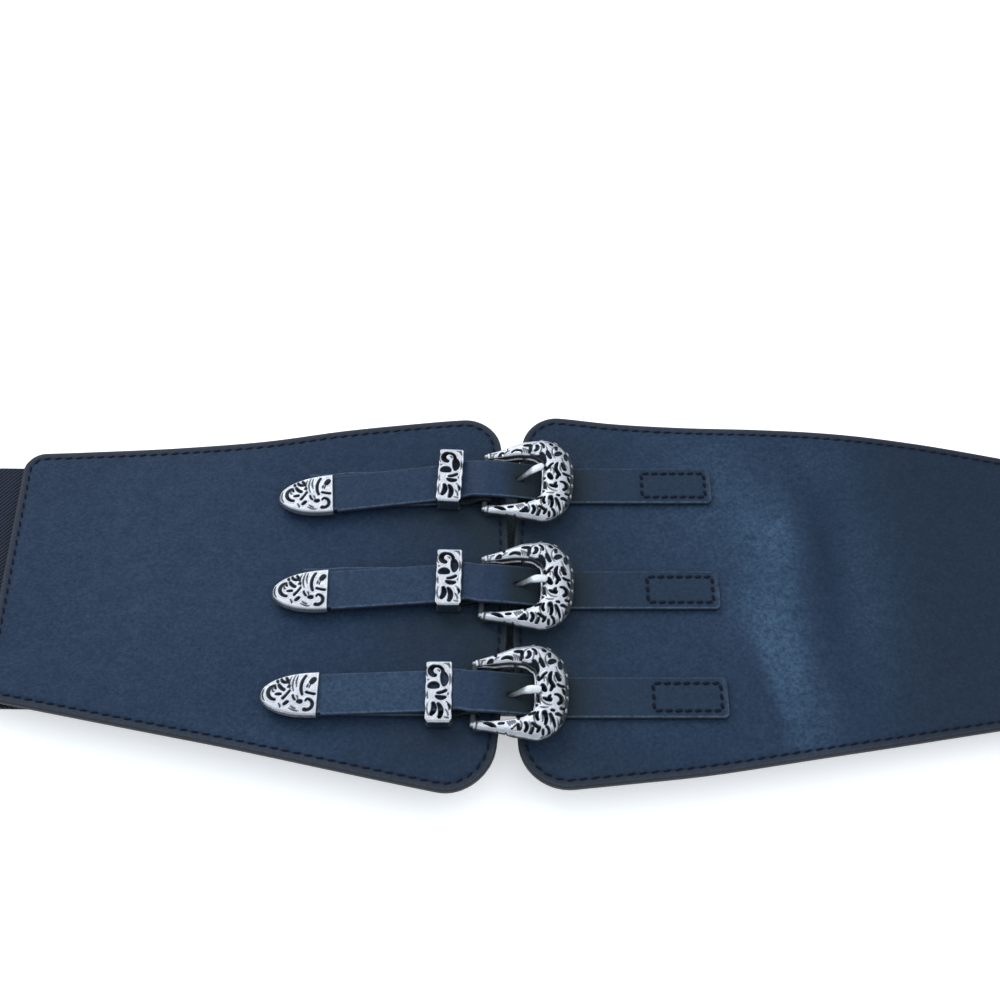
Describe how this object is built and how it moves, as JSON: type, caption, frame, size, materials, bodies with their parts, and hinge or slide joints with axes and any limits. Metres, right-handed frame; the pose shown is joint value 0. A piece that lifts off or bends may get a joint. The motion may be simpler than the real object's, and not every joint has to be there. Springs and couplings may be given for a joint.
{
  "type": "hip belt",
  "caption": "Wide leather hip belt with shaped front panels, buckled straps with pierced metal buckles, keepers and tips, and a ribbed elastic band behind.",
  "frame": {"origin": "middle of the belt's outline, on the surface that it lies on", "axes": "+X along the belt towards the panel that carries the hanging straps' sewn ends, +Y across its width towards the upper edge, +Z out of the front face"},
  "size_m": [0.3876, 0.146, 0.0276],
  "materials": {
    "panel_leather": "dyed navy leather, fine grain, low sheen",
    "strap_leather": "smoother navy leather, soft sheen",
    "elastic": "black woven elastic, fine ribs, matte",
    "silver": "antiqued silver-tone cast metal, dark in its recesses"
  },
  "bodies": {
    "root": {"left_panel": "panel_leather", "right_panel": "panel_leather", "elastic_band": "elastic", "top_billet_strap": "strap_leather", "top_chape_strap": "strap_leather", "top_buckle_frame": "silver", "top_prong": "silver", "top_keeper": "silver", "top_strap_tip": "silver", "middle_billet_strap": "strap_leather", "middle_chape_strap": "strap_leather", "middle_buckle_frame": "silver", "middle_prong": "silver", "middle_keeper": "silver", "middle_strap_tip": "silver", "bottom_billet_strap": "strap_leather", "bottom_chape_strap": "strap_leather", "bottom_buckle_frame": "silver", "bottom_prong": "silver", "bottom_keeper": "silver", "bottom_strap_tip": "silver"}
  },
  "joints": []
}
